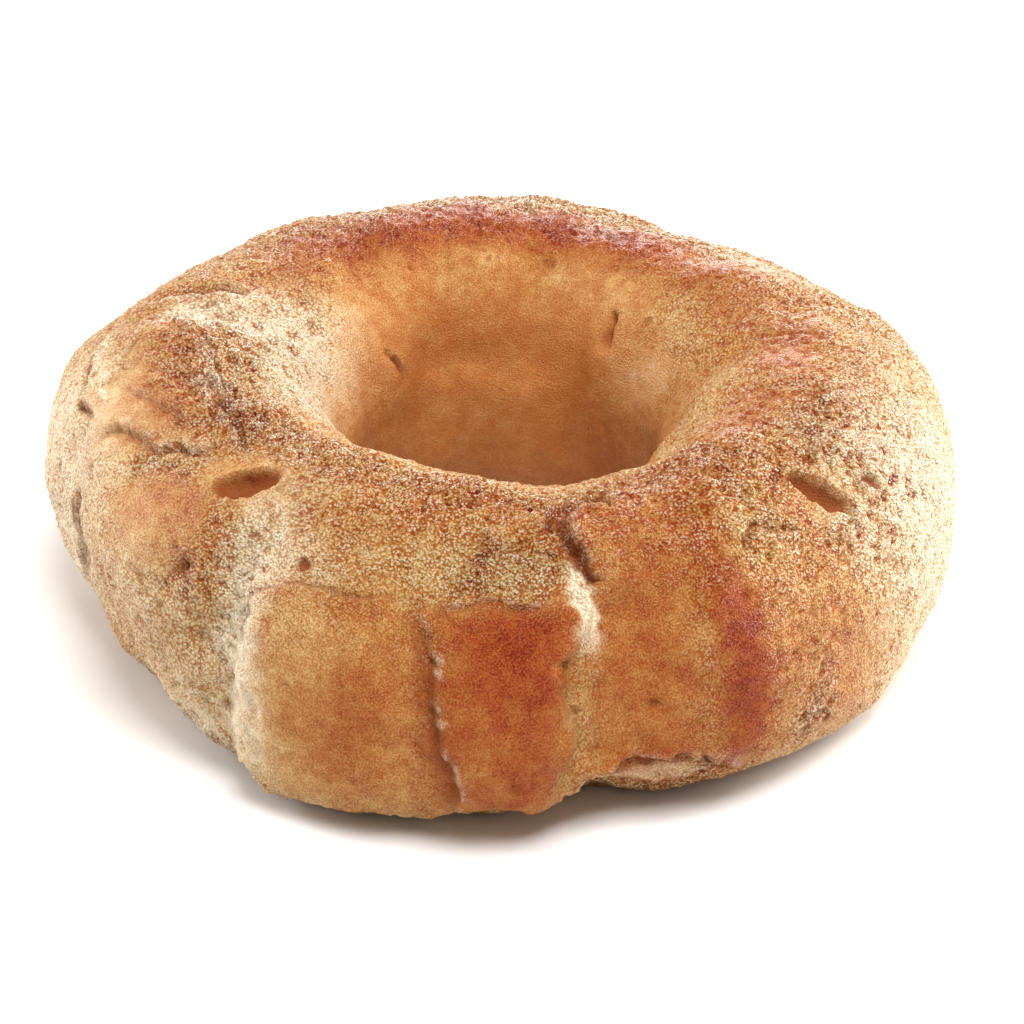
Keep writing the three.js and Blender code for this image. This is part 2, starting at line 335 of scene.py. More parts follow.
# Where the crust is rougher than elsewhere.
rough = {
    "plateau": {"at": [271, 50], "reach": [8, 3.6], "crags": 0.3, "wrinkles": 0.5},
    "crest": {"at": [264, 76], "reach": [19, 6], "crags": 0, "wrinkles": 0.2},
    "rightTop": {"at": [325, 52], "reach": [19, 12], "crags": 0.35, "wrinkles": 0.7},
    "crestEdge": {"at": [262, 94], "reach": [24, 4], "crags": 0.1, "wrinkles": 0.8},
    "rightScab": {"at": [309, -10], "reach": [3, 3.5], "crags": 0.6, "wrinkles": 0.8},
    "leftRidge": {"at": [203, 94], "reach": [13, 4], "crags": 0.9, "wrinkles": 0.8},
    "leftCrumbs": {"at": [214, 56], "reach": [6, 2.5], "crags": 0.6, "wrinkles": 0.6},
    "cheekBrown": {"at": [234, 30], "reach": [6, 8], "crags": 0.1, "wrinkles": 0.4},
    "leftInner": {"at": [180, 124], "reach": [13, 8], "crags": 1.2, "wrinkles": 0},
    "footLeft": {"at": [236, -42], "reach": [14, 4.5], "crags": 0.9, "wrinkles": 0.4},
    "footRight": {"at": [290, -38], "reach": [12, 4.5], "crags": 0.8, "wrinkles": 0.4},
    "backFoot": {"at": [80, -46], "reach": [40, 4], "crags": 0.9, "wrinkles": 0.4},
    "backCrest": {"at": [88, 60], "reach": [36, 9], "crags": 0.5, "wrinkles": 0.6},
    "backRight": {"at": [12, 28], "reach": [10, 14], "crags": 0.4, "wrinkles": 0.5},
}

# What a split is where it doesn't say.
plainSplit = {"step": 0, "lip": 0, "raw": 0, "rawWidth": 1, "fade": 0.1, "pale": 0.3, "ragged": 0.6}
# How steep the side of a spot is where it doesn't say.
plainEdges = {"patch": 3, "tear": 2.4, "rough": 2.5}

# How splits and bubbles are carved. Places and widths are shares of the split's or the bubble's own.
carving = {
    "stepReach": 3.5,  # how far a lifted edge takes to sink back, in millimetres
    "lipPlace": 1.3,
    "lipWidth": 0.7,
    "rawCore": 0.6,
    "bubbleRagged": 0.12,
    "rimPlace": 1.12,
    "rimWidth": 0.16,
    "bubbleRaw": 0.95,
    "rawHollow": [0.1, 0.5],  # where in the hollow the inside begins to show, and shows fully
    "smoothHollow": [0, 0.2],
    "warpMargin": 1.5,  # in millimetres, round a flaw
}

# The layers of the relief. Sizes and heights are in millimetres, a shift sets one field of noise apart
# from the others, kept is the share that smooth skin keeps, and plain is the roughness of plain skin.
relief = {
    "lumps": {"size": 6.5, "shift": 31.4, "height": 0.3, "kept": 0.5},
    "crags": {"size": 2.3, "shift": 8.2, "height": 0.34, "kept": 0, "plain": 0.3},
    "wrinkles": {"size": 1.05, "shift": 2.6, "height": 0.46, "kept": 0.15, "plain": 0.4},
    "pimples": {"size": 0.6, "shift": 6.9, "height": 0.16, "kept": 0.4},
    "ridgeTop": 0.35,
    "ridgeFall": 2,
    "crumble": {"size": 1.1, "shift": 55.5, "range": [-0.25, 0.2]},
    "warps": [[4.5, 1.8], [1.6, 0.9], [0.7, 0.35]],  # [size, reach]
    "warpShifts": {"warpAlong": 3.1, "warpAcross": 17.7},
    "bakedHeight": 1.2,  # below this the tray flattened the relief
    "bakedKept": 0.15,
    "seed": 11,
}
pores = {
    "count": 300,
    "over": [-50, 140],
    "length": [0.5, 0.9],
    "longer": 1.2,  # a rare pore is up to this much longer
    "rarity": 8,
    "narrowness": [0.55, 0.95],
    "depth": 0.18,  # depth, rim and reach are shares of the length
    "rim": 0.05,
    "reach": 1.5,
    "raw": 0.45,
}
hairCracks = {
    "count": 24,
    "over": [0, 120],
    "length": [1.5, 5],
    "legs": 3,
    "bend": 40,
    "reach": 2,
    "width": 0.25,
    "depth": 0.2,
    "raw": 0.35,
}

# How the masks that the look reads follow the patches, the tears and the relief, with painted shade in the
# relief's hollows and a painted glow in the hole.
toning = {
    "plainBrown": 0.36,
    "slow": {"size": 11, "shift": 40.3, "brown": 0.12},
    "quick": {"size": 4, "shift": 70.1, "brown": 0.08},
    # painted shade in the relief's hollows, from its ridges and creases:
    "ridgeHollow": 0.6,
    "creaseHollow": 0.9,
    "hollowShade": 0.24,
    "tornHollowShade": 0.35,
    "tornAndHighlitLighter": 0.35,
    "freeCoarse": 0.5,
    "roughCoarse": 0.45,
    # a painted glow, as of light through the crust, inside the hole and strongest on its back wall
    "glowStart": [118, 165],  # over the section, in degrees
    "glowEnd": [262, 235],
    "glowTowards": 80,
    "glowMiddle": 0.6,
    "glowSwing": 0.4,
}


def turnBetween(start, end):
    return (end - start + 180) % 360 - 180


def noiseField(points, size, shift):
    return np.array([noise.noise(point) for point in (points / size + shift).tolist()])


def layerField(points, layer):
    return noiseField(points, layer["size"], layer["shift"])


# High along the lines where the noise is nought, and low between them.
def ridgeField(points, layer):
    return relief["ridgeTop"] - relief["ridgeFall"] * np.abs(layerField(points, layer))


def smoothStep(values, low, high):
    share = np.clip((values - low) / (high - low), 0, 1)
    return share * share * (3 - 2 * share)


def partlyKept(kept, share):
    return kept + (1 - kept) * share


# The way from a place to each point of the crust, in millimetres along the ring and over the section.
def crustStep(crust, place, ragged=1.0):
    along = np.radians(turnBetween(place[0], crust["round"])) * crust["radius"]
    across = np.radians(turnBetween(place[1], crust["over"])) * ring["sectionRadius"]
    return along + ragged * crust["warpAlong"], across + ragged * crust["warpAcross"]


def lobeShape(crust, lobe, edge):
    along, across = crustStep(crust, lobe["at"])
    return np.exp(-np.abs(along / lobe["reach"][0]) ** edge - np.abs(across / lobe["reach"][1]) ** edge)


# How far each point is from a path, on which side (left is above 0), and which share of it lies behind.
def alongPath(crust, path, ragged=1.0):
    nearest = np.full(len(crust["round"]), np.inf)
    side = np.zeros_like(nearest)
    behind = np.zeros_like(nearest)
    for leg, (start, end) in enumerate(zip(path, path[1:])):
        runAlong = np.radians(turnBetween(start[0], end[0])) * crust["radius"]
        runAcross = math.radians(turnBetween(start[1], end[1])) * ring["sectionRadius"]
        along, across = crustStep(crust, start, ragged)
        share = np.clip((along * runAlong + across * runAcross) / (runAlong**2 + runAcross**2), 0, 1)
        distance = np.hypot(along - share * runAlong, across - share * runAcross)
        closer = distance < nearest
        nearest = np.where(closer, distance, nearest)
        side = np.where(closer, np.sign(runAlong * across - runAcross * along), side)
        behind = np.where(closer, (leg + share) / (len(path) - 1), behind)
    return nearest, side, behind


# The groove of a split, its lifted edge, where that edge tore pale, and where the inside shows.
def splitShape(crust, split):
    split = plainSplit | split
    width, fade = split["width"], split["fade"]
    distance, side, behind = alongPath(crust, split["path"], split["ragged"])
    strength = smoothStep(behind, 0, fade) * smoothStep(behind, 1, 1 - fade)
    core = np.exp(-((distance / width) ** 2))
    groove = strength * split["depth"] * core
    lifted = side * math.copysign(1, split["step"]) > 0
    shelf = abs(split["step"]) * np.exp(-distance / carving["stepReach"]) * lifted
    shelf = shelf * smoothStep(distance, 0, width)
    lip = np.exp(-(((distance - carving["lipPlace"] * width) / (carving["lipWidth"] * width)) ** 2))
    lip = lip * lifted * strength * crust["crumble"]
    rawSide = smoothStep(distance, split["rawWidth"], carving["rawCore"] * split["rawWidth"])
    inside = split["raw"] * strength * np.where(lifted, core, rawSide)
    return groove, strength * shelf + split["lip"] * lip, split["pale"] * lip, inside


# The hollow, from 0 outside to 1 in the middle, and the rim round it.
def bubbleShape(crust, bubble):
    along, across = crustStep(crust, bubble["at"], carving["bubbleRagged"])
    turn = math.radians(bubble["turn"])
    longWay = along * math.cos(turn) + across * math.sin(turn)
    shortWay = across * math.cos(turn) - along * math.sin(turn)
    spread = np.hypot(2 * longWay / bubble["length"], 2 * shortWay / bubble["width"])
    hollow = np.sqrt(np.clip(1 - spread**2, 0, 1))
    rim = np.exp(-(((spread - carving["rimPlace"]) / carving["rimWidth"]) ** 2))
    return hollow, rim


# A point of the smooth piped ring: a superellipse section, turned about Z.
def doughPoints(crust):
    cos = np.cos(np.radians(crust["over"]))
    sin = np.sin(np.radians(crust["over"]))
    fullness = np.where(sin >= 0, ring["crestFullness"], ring["baseFullness"])
    out = np.sign(cos) * np.abs(cos) ** (2 / fullness)
    up = np.sign(sin) * np.abs(sin) ** (2 / fullness)
    radius = ring["ringRadius"] + out * np.where(cos >= 0, ring["outerHalfWidth"], ring["innerHalfWidth"])
    height = ring["waistHeight"] + up * np.where(sin >= 0, ring["crestRise"], ring["baseDrop"])
    turn = np.radians(crust["round"])
    return np.stack([radius * np.cos(turn), radius * np.sin(turn), height], 1)


def applyModifiers(piece):
    graph = bpy.context.evaluated_depsgraph_get()
    mesh = bpy.data.meshes.new_from_object(piece.evaluated_get(graph))
    piece.modifiers.clear()
    piece.data = mesh


# Where a point lies on the spun ring, counted in half steps.
def ringOrder(point):
    over = math.atan2(point.z, math.hypot(point.x, point.y) - ring["ringRadius"])
    halfRound = round(ring["stepsRound"] * math.atan2(point.y, point.x) / math.pi) % (2 * ring["stepsRound"])
    halfOver = round(ring["stepsOver"] * over / math.pi) % (2 * ring["stepsOver"])
    return halfRound * 2 * ring["stepsOver"] + halfOver


# One spun torus, fine enough for the smallest cracks. Its vertices, edges and faces are put in a fixed
# order, because the spin leaves them in a chance one and the thinning follows it.
def spinRing():
    bm = bmesh.new()
    bmesh.ops.create_circle(bm, cap_ends=False, segments=ring["stepsOver"], radius=ring["sectionRadius"])
    bmesh.ops.rotate(bm, verts=bm.verts, cent=(0, 0, 0), matrix=Matrix.Rotation(math.radians(90), 3, "X"))
    bmesh.ops.translate(bm, verts=bm.verts, vec=(ring["ringRadius"], 0, 0))
    bmesh.ops.spin(
        bm, geom=bm.verts[:] + bm.edges[:], cent=(0, 0, 0), axis=(0, 0, 1),
        angle=2 * math.pi, steps=ring["stepsRound"], use_merge=True,
    )
    bmesh.ops.recalc_face_normals(bm, faces=bm.faces)
    bm.verts.sort(key=lambda vert: ringOrder(vert.co))
    bm.edges.sort(key=lambda edge: ringOrder((edge.verts[0].co + edge.verts[1].co) / 2))
    bm.faces.sort(key=lambda face: ringOrder(face.calc_center_median()))
    mesh = bpy.data.meshes.new("crust")
    bm.to_mesh(mesh)
    bm.free()
    ends = np.empty(len(mesh.edges) * 2, np.int32)
    mesh.edges.foreach_get("vertices", ends)
    mesh.edges.foreach_set("vertices", np.sort(ends.reshape(-1, 2), 1).ravel())
    piece = bpy.data.objects.new("choux_crust", mesh)
    bpy.context.scene.collection.objects.link(piece)
    finer = piece.modifiers.new("finer", "SUBSURF")
    finer.levels = finer.render_levels = ring["halvings"]
    applyModifiers(piece)
    return piece


def readPoints(mesh):
    values = np.empty(len(mesh.vertices) * 3)
    mesh.vertices.foreach_get("co", values)
    return values.reshape(-1, 3)


def readNormals(mesh):
    values = np.empty(len(mesh.vertices) * 3)
    mesh.vertex_normals.foreach_get("vector", values)
    return values.reshape(-1, 3)


def writePoints(mesh, points):
    mesh.vertices.foreach_set("co", (points * millimetre).ravel())
    mesh.update()


# Where each point lies on the crust, and how wide the ring is there.
def crustOf(points):
    reach = np.hypot(points[:, 0], points[:, 1])
    over = np.degrees(np.arctan2(points[:, 2], reach - ring["ringRadius"])) % 360
    return {
        "round": np.degrees(np.arctan2(points[:, 1], points[:, 0])) % 360,
        "over": over,
        "radius": ring["ringRadius"] + ring["outerHalfWidth"] * np.cos(np.radians(over)),
    }


def warpCrust(crust, points):
    for name, shift in relief["warpShifts"].items():
        crust[name] = sum(reach * noiseField(points, size, shift + size) for size, reach in relief["warps"])


# The main form: what the solid has, with steeper lobes and sharper splits.
def mainForm(crust):
    rise = np.zeros(len(crust["round"]))
    leanAlong = np.zeros_like(rise)
    leanAcross = np.zeros_like(rise)
    raw = np.zeros_like(rise)
    lips = np.zeros_like(rise)
    for lobe in lobes.values():
        shape = lobeShape(crust, lobe, lobe["edge"])
        rise += lobe["swell"] * shape
        lean = lobe.get("lean", [0, 0])
        leanAlong += lean[0] * shape
        leanAcross += lean[1] * shape
    for split in splits.values():
        groove, edge, tornAndHighlit, inside = splitShape(crust, split)
        rise += edge - groove
        raw = np.maximum(raw, inside)
        lips = np.maximum(lips, tornAndHighlit)
    for bubble in bubbles.values():
        hollow, rim = bubbleShape(crust, bubble)
        rise += bubble["rim"] * rim - bubble["depth"] * hollow
        raw = np.maximum(raw, carving["bubbleRaw"] * smoothStep(hollow, *carving["rawHollow"]))
        crust["smooth"] = np.maximum(crust["smooth"], smoothStep(hollow, *carving["smoothHollow"]))
    for timesRound, timesOver, phase, size in waves:
        rise += size * np.sin(np.radians(timesRound * crust["round"] + timesOver * crust["over"] + phase))
    return rise, leanAlong, leanAcross, raw, lips


# The underside is pressed flat on the tray, and the box is centred over the origin.
def settle(points):
    points[:, 2] = np.maximum(points[:, 2], 0)
    middle = (points.min(0) + points.max(0)) / 2
    points[:, :2] -= middle[:2]
    return points


def placeCrust(crust, rise, leanAlong, leanAcross):
    turn = np.radians(crust["round"])
    over = np.radians(crust["over"])
    outward = np.stack([np.cos(over) * np.cos(turn), np.cos(over) * np.sin(turn), np.sin(over)], 1)
    onward = np.stack([-np.sin(turn), np.cos(turn), np.zeros_like(turn)], 1)
    upward = np.stack([-np.sin(over) * np.cos(turn), -np.sin(over) * np.sin(turn), np.cos(over)], 1)
    points = doughPoints(crust) + outward * rise[:, None]
    points += onward * leanAlong[:, None] + upward * leanAcross[:, None]
    return settle(points)


# How far each point is free of the smooth patches, how rough it is, and the ridges and creases there.
def skinOf(crust, plain):
    skin = {
        "free": 1 - crust["smooth"],
        "crags": np.full(len(plain), relief["crags"]["plain"]),
        "wrinkles": np.full(len(plain), relief["wrinkles"]["plain"]),
        "ridges": ridgeField(plain, relief["crags"]),
        "creases": ridgeField(plain, relief["wrinkles"]),
    }
    for zone in rough.values():
        shape = lobeShape(crust, zone, plainEdges["rough"])
        skin["crags"] += zone["crags"] * shape
        skin["wrinkles"] += zone["wrinkles"] * shape
    return skin


def patchMasks(crust):
    smooth = np.zeros(len(crust["round"]))
    brown = np.zeros_like(smooth)
    pale = np.zeros_like(smooth)
    for band in toasting.values():
        spread = turnBetween(band["over"], crust["over"]) / band["spread"]
        brown += band["brown"] * np.exp(-(spread**2))
    for patch in patches.values():
        shape = lobeShape(crust, patch, patch.get("edge", plainEdges["patch"]))
        brown += patch["brown"] * shape
        smooth = np.maximum(smooth, patch["smooth"] * shape)
    for tear in tearsAndHighlights.values():
        pale = np.maximum(pale, tear["pale"] * lobeShape(crust, tear, tear.get("edge", plainEdges["tear"])))
    return smooth, brown, pale


# The part of the crust round a place, so that a small flaw is worked out only there.
def nearPlace(crust, place, reach):
    along = np.radians(turnBetween(place[0], crust["round"])) * crust["radius"]
    across = np.radians(turnBetween(place[1], crust["over"])) * ring["sectionRadius"]
    index = np.nonzero(np.hypot(along, across) < reach + carving["warpMargin"])[0]
    near = {name: values[index] for name, values in crust.items()}
    near["index"] = index
    return near


def drawPore(draw):
    place = [draw.uniform(0, 360), draw.uniform(*pores["over"])]
    length = draw.uniform(*pores["length"]) + pores["longer"] * draw.random() ** pores["rarity"]
    width = length * draw.uniform(*pores["narrowness"])
    return {
        "at": place, "length": length, "width": width, "turn": draw.uniform(0, 180),
        "depth": pores["depth"] * length, "rim": pores["rim"] * length,
    }


def drawHairCrack(draw):
    path = [[draw.uniform(0, 360), draw.uniform(*hairCracks["over"])]]
    heading = draw.uniform(0, 180)
    length = draw.uniform(*hairCracks["length"])
    leg = length / hairCracks["legs"]
    for _ in range(hairCracks["legs"]):
        heading += draw.uniform(-hairCracks["bend"], hairCracks["bend"])
        stepRound = math.degrees(leg * math.cos(math.radians(heading)) / ring["ringRadius"])
        stepOver = math.degrees(leg * math.sin(math.radians(heading)) / ring["sectionRadius"])
        path.append([path[-1][0] + stepRound, path[-1][1] + stepOver])
    return path, length


# Pores and hair cracks, scattered over the skin by a seeded draw.
def scatterFlaws(crust):
    draw = random.Random(relief["seed"])
    rise = np.zeros(len(crust["round"]))
    raw = np.zeros_like(rise)
    for _ in range(pores["count"]):
        pore = drawPore(draw)
        near = nearPlace(crust, pore["at"], pores["reach"] * pore["length"])
        hollow, rim = bubbleShape(near, pore)
        rise[near["index"]] += pore["rim"] * rim - pore["depth"] * hollow
        raw[near["index"]] = np.maximum(raw[near["index"]], pores["raw"] * hollow)
    for _ in range(hairCracks["count"]):
        path, length = drawHairCrack(draw)
        near = nearPlace(crust, path[0], length + hairCracks["reach"])
        distance = alongPath(near, path)[0]
        groove = np.exp(-((distance / hairCracks["width"]) ** 2))
        rise[near["index"]] -= hairCracks["depth"] * groove
        raw[near["index"]] = np.maximum(raw[near["index"]], hairCracks["raw"] * groove)
    return rise, raw


def layerRise(layer, field, free, roughness=1):
    return layer["height"] * field * roughness * partlyKept(layer["kept"], free)


def fineRelief(skin, plain):
    fine = layerRise(relief["lumps"], layerField(plain, relief["lumps"]), skin["free"])
    fine += layerRise(relief["crags"], skin["ridges"], skin["free"], skin["crags"])
    fine += layerRise(relief["wrinkles"], skin["creases"], skin["free"], skin["wrinkles"])
    fine += layerRise(relief["pimples"], layerField(plain, relief["pimples"]), skin["free"])
    return fine


# The masks that the material reads. Hollows of the relief get painted shade: browner, and not pale where the
# skin tore.
def lookMasks(crust, skin, plain, brown, pale, lips, raw):
    free, crags, wrinkles = skin["free"], skin["crags"], skin["wrinkles"]
    slow = layerField(plain, toning["slow"])
    quick = layerField(plain, toning["quick"])
    ridgeShare, creaseShare = toning["ridgeHollow"], toning["creaseHollow"]
    deep = ridgeShare * skin["ridges"] * crags + creaseShare * skin["creases"] * wrinkles
    hollow = np.clip(-deep * free, 0, 1)
    # painted shade: the relief's hollows are browner, more so where the skin is pale
    hollowShading = (toning["hollowShade"] + toning["tornHollowShade"] * pale) * hollow
    tornAndHighlit = pale * (1 - hollow)
    browningAndShading = toning["plainBrown"] + brown
    browningAndShading = browningAndShading + toning["slow"]["brown"] * slow + toning["quick"]["brown"] * quick
    browningAndShading = browningAndShading + hollowShading - toning["tornAndHighlitLighter"] * tornAndHighlit
    coarse = (crags + wrinkles - relief["crags"]["plain"] - relief["wrinkles"]["plain"]) * free
    # painted glow inside the hole, strongest towards the back wall
    glow = smoothStep(crust["over"], *toning["glowStart"]) * smoothStep(crust["over"], *toning["glowEnd"])
    glowTurn = np.cos(np.radians(crust["round"] - toning["glowTowards"]))
    return {
        "browningAndShading": browningAndShading,
        "tornAndHighlit": tornAndHighlit + lips,
        "rawInside": raw,
        "coarseSkin": toning["freeCoarse"] * free**2 + toning["roughCoarse"] * coarse,
        "glowing": glow * (toning["glowMiddle"] + toning["glowSwing"] * glowTurn),
    }


def addMask(mesh, name, values):
    mask = mesh.attributes.new(name, "FLOAT", "POINT")
    mask.data.foreach_set("value", np.clip(values, 0, 1).astype(np.float32))


def makeCrust():
    piece = spinRing()
    crust = crustOf(readPoints(piece.data))
    plain = doughPoints(crust)
    warpCrust(crust, plain)
    crust["crumble"] = smoothStep(layerField(plain, relief["crumble"]), *relief["crumble"]["range"])
    crust["smooth"], brown, pale = patchMasks(crust)
    print("crust: masks laid out on", len(plain), "points")
    rise, leanAlong, leanAcross, raw, lips = mainForm(crust)
    points = placeCrust(crust, rise, leanAlong, leanAcross)
    writePoints(piece.data, points)
    print("crust: main form placed")

    skin = skinOf(crust, plain)
    flaws, flawRaw = scatterFlaws(crust)
    fine = fineRelief(skin, plain) + flaws
    baked = smoothStep(points[:, 2], 0, relief["bakedHeight"])
    fine = fine * partlyKept(relief["bakedKept"], baked)
    writePoints(piece.data, settle(points + readNormals(piece.data) * fine[:, None]))
    print("crust: relief placed")

    masks = lookMasks(crust, skin, plain, brown, pale, lips, np.maximum(raw, flawRaw))
    for name, values in masks.items():
        addMask(piece.data, name, values)
    thinner = piece.modifiers.new("thinner", "DECIMATE")
    thinner.ratio = ring["triangles"] / (2 * len(piece.data.polygons))
    applyModifiers(piece)
    piece.data.shade_smooth()
    print("crust: thinned to", len(piece.data.polygons), "faces")
    return piece


# Colours are linear, and sizes in metres. A range is [low, high].
crustLook = {
    "scale": [
        [0.0, [0.84, 0.67, 0.43]],
        [0.25, [0.67, 0.41, 0.17]],
        [0.45, [0.53, 0.245, 0.075]],
        [0.65, [0.43, 0.137, 0.032]],
        [0.85, [0.35, 0.065, 0.014]],
        [1.0, [0.22, 0.026, 0.005]],
    ],
    # the pale of torn skin, and of painted highlights
    "tornAndHighlightColour": [1.0, 0.88, 0.68],
    "tornAndHighlightShare": 0.8,
    "tornAndHighlitOverGrain": [1.35, 0.4],  # on the grain's tops, and in its hollows
    "insideColour": [0.29, 0.075, 0.017],
    "insideShare": 0.95,
    # painted glow of light through the crust on the hole's wall
    "holeGlowColour": [0.54, 0.20, 0.06],
    "holeGlowShare": 0.6,
    # painted glints, pale specks on the grain's tops:
    "glintColour": [1.0, 0.94, 0.78],
    "glintShare": 0.8,
    "glintTops": [0.5, 0.66],
    "glintBlotches": [0.44, 0.6],
    "glintSpread": [0.1, 1],
    "grainSize": 0.0002,
    "grainDetail": 2,
    "grainRoughness": 0.65,
    "granuleSize": 0.00032,
    "granuleShare": 0.45,
    "granuleSkin": 0.6,  # how coarse the skin is where the granules come out fully
    "surfaceRange": [0.36, 0.62],
    # painted shade in the grain's hollows, with lighter tops:
    "grainShadeContrast": [0.14, 0.32],  # on plain skin, and on coarse skin, as in bump and roughness
    "blotchSize": 0.0018,
    "blotchRange": [0.3, 0.7],
    "blotchContrast": 0.1,
    "bumpHeight": 0.0006,
    "bump": [0.45, 1.9],
    "roughness": [0.42, 0.22],
    "shine": 0.2,
}
nodeGrid = {"columns": 6, "width": 240, "height": 340}  # how the nodes lie in the editor


def addNode(material, kind, **settings):
    nodes = material.node_tree.nodes
    row, column = divmod(len(nodes), nodeGrid["columns"])
    node = nodes.new(kind)
    node.location = (column * nodeGrid["width"], -row * nodeGrid["height"])
    for name, value in settings.items():
        setattr(node, name, value)
    return node


# An input takes what another node gives, or a value of its own.
def feed(material, socket, value):
    if isinstance(value, bpy.types.NodeSocket):
        material.node_tree.links.new(value, socket)
    else:
        socket.default_value = value


def mapRange(material, value, source, target):
    node = addNode(material, "ShaderNodeMapRange")
    feed(material, node.inputs["Value"], value)
    node.inputs["From Min"].default_value, node.inputs["From Max"].default_value = source
    node.inputs["To Min"].default_value, node.inputs["To Max"].default_value = target
    return node.outputs["Result"]


def combine(material, operation, first, second, clamp=False):
    node = addNode(material, "ShaderNodeMath", operation=operation, use_clamp=clamp)
    feed(material, node.inputs[0], first)
    feed(material, node.inputs[1], second)
    return node.outputs[0]


def mixColour(material, mask, strength, colour, target):
    share = combine(material, "MULTIPLY", mask, strength)
    mix = addNode(material, "ShaderNodeMix", data_type="RGBA")
    feed(material, mix.inputs["Factor"], share)
    feed(material, mix.inputs["A"], colour)
    feed(material, mix.inputs["B"], [*target, 1])
    return mix.outputs["Result"]


def noiseTexture(material, place, size, detail, roughness=0.5):
    texture = addNode(material, "ShaderNodeTexNoise", noise_dimensions="3D")
    feed(material, texture.inputs["Vector"], place)
    feed(material, texture.inputs["Scale"], 1 / size)
    feed(material, texture.inputs["Detail"], detail)
    feed(material, texture.inputs["Roughness"], roughness)
    return texture.outputs["Fac"]


# Grain, and on coarse skin granules as well, from hollows at 0 to tops at 1.
def crustSurface(material, place, coarse):
    look = crustLook
    grain = noiseTexture(material, place, look["grainSize"], look["grainDetail"], look["grainRoughness"])
    granules = addNode(material, "ShaderNodeTexVoronoi", voronoi_dimensions="3D")
    feed(material, granules.inputs["Vector"], place)
    feed(material, granules.inputs["Scale"], 1 / look["granuleSize"])
    mix = addNode(material, "ShaderNodeMix", data_type="FLOAT")
    granular = mapRange(material, coarse, [0, look["granuleSkin"]], [0, look["granuleShare"]])
    feed(material, mix.inputs["Factor"], granular)
    feed(material, mix.inputs["A"], grain)
    feed(material, mix.inputs["B"], mapRange(material, granules.outputs["Distance"], [0, 1], [1, 0]))
    return mix.outputs["Result"]


# The browning scale, read where the mask says, further on as painted shade in the grain's hollows and back
# on its lighter tops, and shifted by blotches.
def toastedAndShadedColour(material, masks, grainShading, blotches):
    look = crustLook
    grainShadeContrast = mapRange(material, masks["coarseSkin"], [0, 1], look["grainShadeContrast"])
    farthest = look["blotchContrast"]
    drift = mapRange(material, blotches, look["blotchRange"], [-farthest, farthest])
    shift = combine(material, "ADD", combine(material, "MULTIPLY", grainShading, grainShadeContrast), drift)
    ramp = addNode(material, "ShaderNodeValToRGB")
    feed(material, ramp.inputs["Fac"], combine(material, "ADD", shift, masks["browningAndShading"], clamp=True))
    stops = ramp.color_ramp.elements
    while len(stops) < len(look["scale"]):
        stops.new(0.5)
    for stop, (position, colour) in zip(stops, look["scale"]):
        stop.position = position
        stop.color = [*colour, 1]
    return ramp.outputs["Color"]


def crustMaterial():
    look = crustLook
    material = bpy.data.materials.new("baked_choux_crust")
    material.use_nodes = True
    shader = material.node_tree.nodes["Principled BSDF"]
    place = addNode(material, "ShaderNodeTexCoord").outputs["Object"]
    masks = {}
    for name in ["browningAndShading", "tornAndHighlit", "rawInside", "coarseSkin", "glowing"]:
        masks[name] = addNode(material, "ShaderNodeAttribute", attribute_name=name).outputs["Fac"]
    coarse = masks["coarseSkin"]
    surface = crustSurface(material, place, coarse)
    blotches = noiseTexture(material, place, look["blotchSize"], look["grainDetail"])
    # the crust's grain tone, with painted shade in its hollows (above 0) and painted light on its tops
    # (below 0)
    grainShading = mapRange(material, surface, look["surfaceRange"], [1, -1])
    toastedAndShaded = toastedAndShadedColour(material, masks, grainShading, blotches)

    # the torn skin and the painted highlights keep some of the grain, paler on its tops and less pale in its
    # painted-shade hollows
    overGrain = mapRange(material, grainShading, [-1, 1], look["tornAndHighlitOverGrain"])
    tornAndHighlitMask = combine(material, "MULTIPLY", overGrain, masks["tornAndHighlit"], clamp=True)
    tornAndHighlit = mixColour(material, tornAndHighlitMask, look["tornAndHighlightShare"], toastedAndShaded, look["tornAndHighlightColour"])
    inside = mixColour(material, masks["rawInside"], look["insideShare"], tornAndHighlit, look["insideColour"])
    # painted glow: the hole's wall tinted orange as if lit through the crust
    glowTinted = mixColour(material, masks["glowing"], look["holeGlowShare"], inside, look["holeGlowColour"])

    # painted glints: pale specks on the tops of the coarse skin's grain, in clusters
    glintPlaces = mapRange(material, surface, look["glintTops"], [0, 1])
    glintClusters = mapRange(material, blotches, look["glintBlotches"], look["glintSpread"])
    paintedGlints = combine(material, "MULTIPLY", combine(material, "MULTIPLY", glintPlaces, glintClusters), coarse)
    colour = mixColour(material, paintedGlints, look["glintShare"], glowTinted, look["glintColour"])
    feed(material, shader.inputs["Base Color"], colour)
    feed(material, shader.inputs["Roughness"], mapRange(material, coarse, [0, 1], look["roughness"]))
    feed(material, shader.inputs["Specular IOR Level"], look["shine"])

    bump = addNode(material, "ShaderNodeBump")
    depth = mapRange(material, coarse, [0, 1], look["bump"])
    feed(material, bump.inputs["Distance"], look["bumpHeight"])
    feed(material, bump.inputs["Height"], combine(material, "MULTIPLY", surface, depth))
    feed(material, shader.inputs["Normal"], bump.outputs["Normal"])
    return material


# Places and sizes of the studio and the view are in metres, and powers in watts.
studio = {
    "floorSize": 6,
    "floorColour": [0.9, 0.9, 0.9],
    "floorRoughness": 0.9,
    "worldColour": [1, 1, 1],
    "worldStrength": 0.28,
    "aim": [0, 0, 0.015],
    "lamps": {
        "backLeft": {"place": [-0.50, 0.26, 0.14], "size": 0.32, "power": 3},
        "backRight": {"place": [0.50, 0.24, 0.15], "size": 0.28, "power": 4.2},
        "back": {"place": [0.05, 0.62, 0.10], "size": 0.14, "power": 0.95},
        "front": {"place": [0.1, -0.22, 0.68], "size": 0.4, "power": 5},
    },
}

view = {
    "elevation": 29,
    "distance": 0.4,
    "target": [0, -0.0004, 0.015],
    "lens": 128.7,
    "sensor": 36,
    "shift": [0.0117, -0.0293],
    "clipStart": 0.01,
}


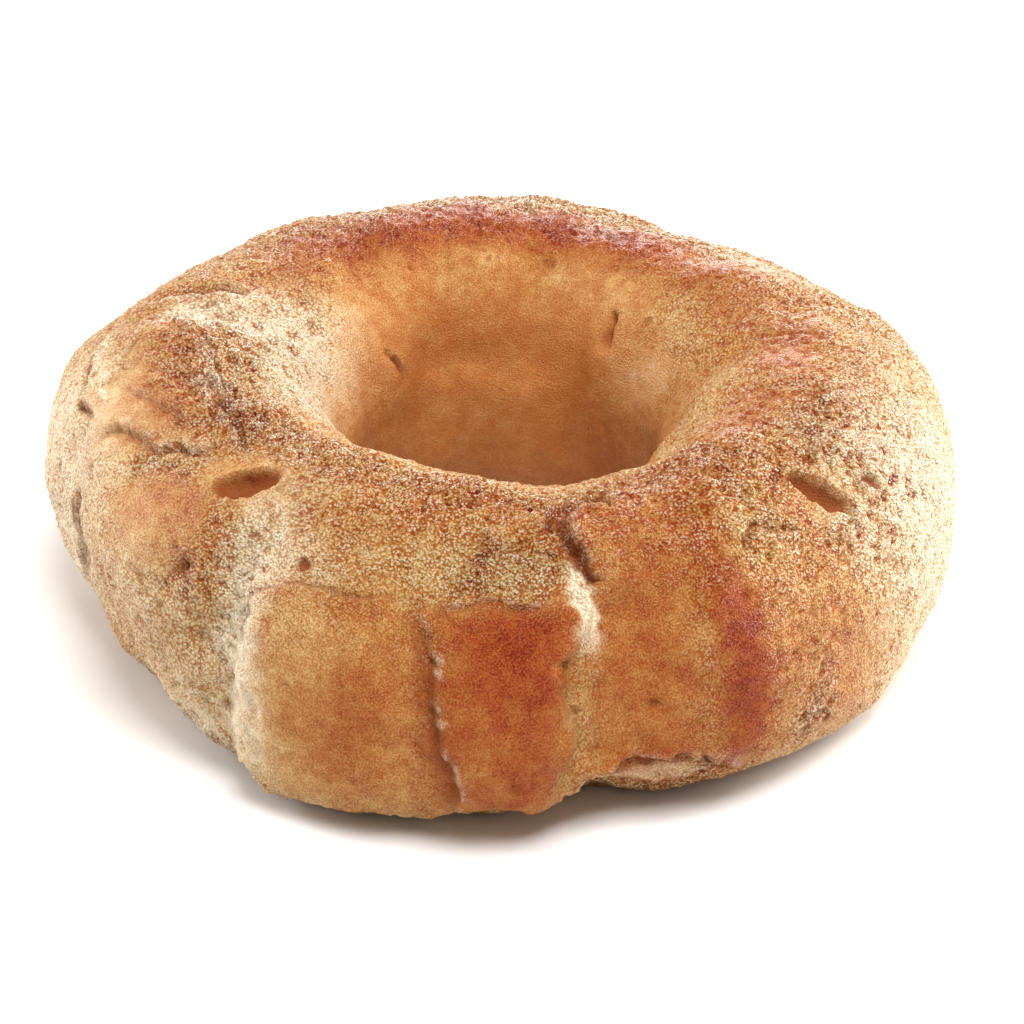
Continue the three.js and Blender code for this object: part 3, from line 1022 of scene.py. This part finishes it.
def makeFloor():
    bm = bmesh.new()
    bmesh.ops.create_grid(bm, x_segments=1, y_segments=1, size=studio["floorSize"] / 2)
    mesh = bpy.data.meshes.new("floor")
    bm.to_mesh(mesh)
    bm.free()
    floor = bpy.data.objects.new("studio_floor", mesh)
    bpy.context.scene.collection.objects.link(floor)
    material = bpy.data.materials.new("pale_floor")
    material.use_nodes = True
    shader = material.node_tree.nodes["Principled BSDF"]
    shader.inputs["Base Color"].default_value = [*studio["floorColour"], 1]
    shader.inputs["Roughness"].default_value = studio["floorRoughness"]
    mesh.materials.append(material)


# Turns a lamp or a camera, which look down their own Z, along a direction.
def lookAlong(looker, direction):
    looker.rotation_euler = direction.to_track_quat("-Z", "Y").to_euler()


def makeLights():
    world = bpy.data.worlds.new("soft_studio")
    bpy.context.scene.world = world
    world.use_nodes = True
    background = world.node_tree.nodes["Background"]
    background.inputs["Color"].default_value = [*studio["worldColour"], 1]
    background.inputs["Strength"].default_value = studio["worldStrength"]
    for name, lamp in studio["lamps"].items():
        light = bpy.data.lights.new(name, "AREA")
        light.size = lamp["size"]
        light.energy = lamp["power"]
        holder = bpy.data.objects.new(name, light)
        holder.location = lamp["place"]
        lookAlong(holder, Vector(studio["aim"]) - holder.location)
        bpy.context.scene.collection.objects.link(holder)


def makeCamera():
    camera = bpy.data.cameras.new("camera")
    camera.lens = view["lens"]
    camera.sensor_width = view["sensor"]
    camera.shift_x, camera.shift_y = view["shift"]
    camera.clip_start = view["clipStart"]
    eye = bpy.data.objects.new("camera", camera)
    rise = math.radians(view["elevation"])
    away = Vector((0, -math.cos(rise), math.sin(rise))) * view["distance"]
    eye.location = Vector(view["target"]) + away
    lookAlong(eye, -away)
    bpy.context.scene.collection.objects.link(eye)
    bpy.context.scene.camera = eye


crustPiece = makeCrust()
crustPiece.data.materials.append(crustMaterial())
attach(crustPiece, "root")
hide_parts("choux_ring")
makeFloor()
makeLights()
makeCamera()
bpy.context.scene.view_settings.view_transform = "Standard"
bpy.context.scene.view_settings.look = "Medium High Contrast"
